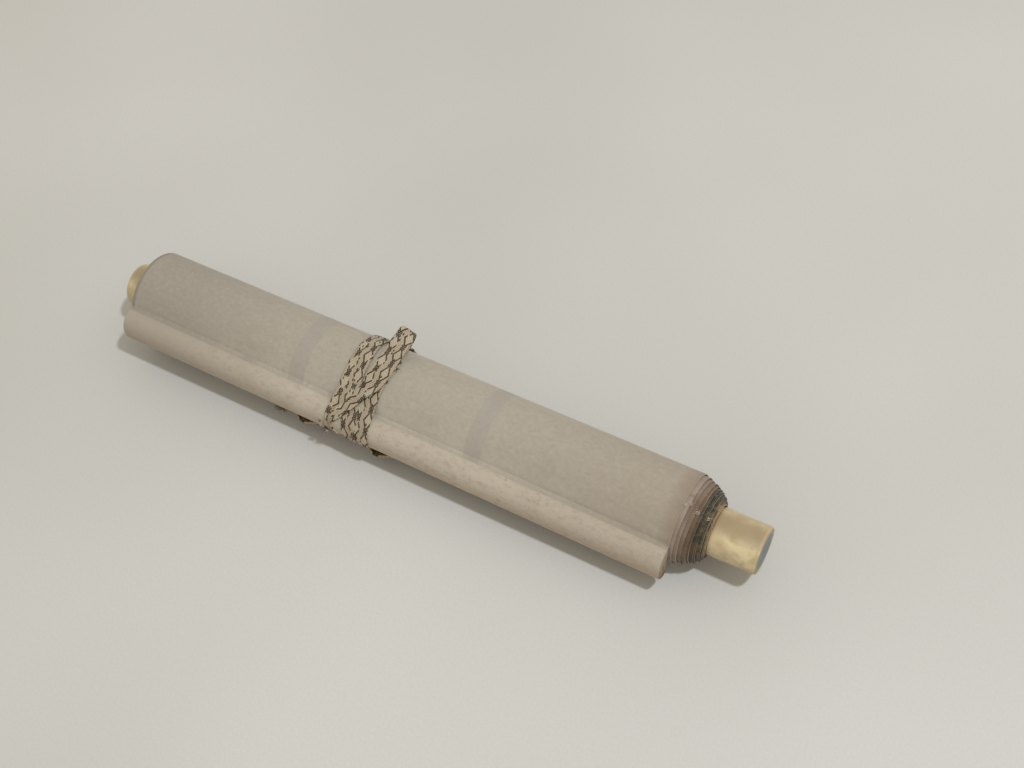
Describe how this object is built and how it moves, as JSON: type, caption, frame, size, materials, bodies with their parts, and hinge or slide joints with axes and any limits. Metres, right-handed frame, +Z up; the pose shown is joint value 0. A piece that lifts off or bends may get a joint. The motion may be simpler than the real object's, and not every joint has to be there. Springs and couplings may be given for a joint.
{
  "type": "hanging scroll",
  "caption": "Paper and silk hanging scroll rolled up on its roller rod with turned end knobs, backing outwards, tied with a flat zigzag braid over the top stave.",
  "frame": {"origin": "on the table, midway between the knobs' end faces and between front and back", "axes": "+X along the roll towards the end where the turns step out, +Y to the back, away from the top stave, +Z up"},
  "size_m": [0.395, 0.0613, 0.0524],
  "materials": {
    "backing_paper": "matte, toned, lightly foxed",
    "rod_wood": "bare turned softwood",
    "stave_wood": "bare planed softwood",
    "knob": "polished, yellowed cream, lightly mottled",
    "eyelet_metal": "darkened",
    "cord_braid": "flat braid, brown",
    "tie_braid": "flat braid, cream with dark brown zigzags",
    "ribbon_silk": "thin lined silk"
  },
  "bodies": {
    "root": {"scroll_sheet": "backing_paper", "roller_rod": "rod_wood", "left_roller_knob": "knob", "right_roller_knob": "knob", "top_stave": "stave_wood", "left_eyelet": "eyelet_metal", "right_eyelet": "eyelet_metal", "hanging_cord": "cord_braid", "tie_ribbon": "tie_braid", "left_hanging_ribbon": "ribbon_silk", "right_hanging_ribbon": "ribbon_silk"}
  },
  "joints": []
}
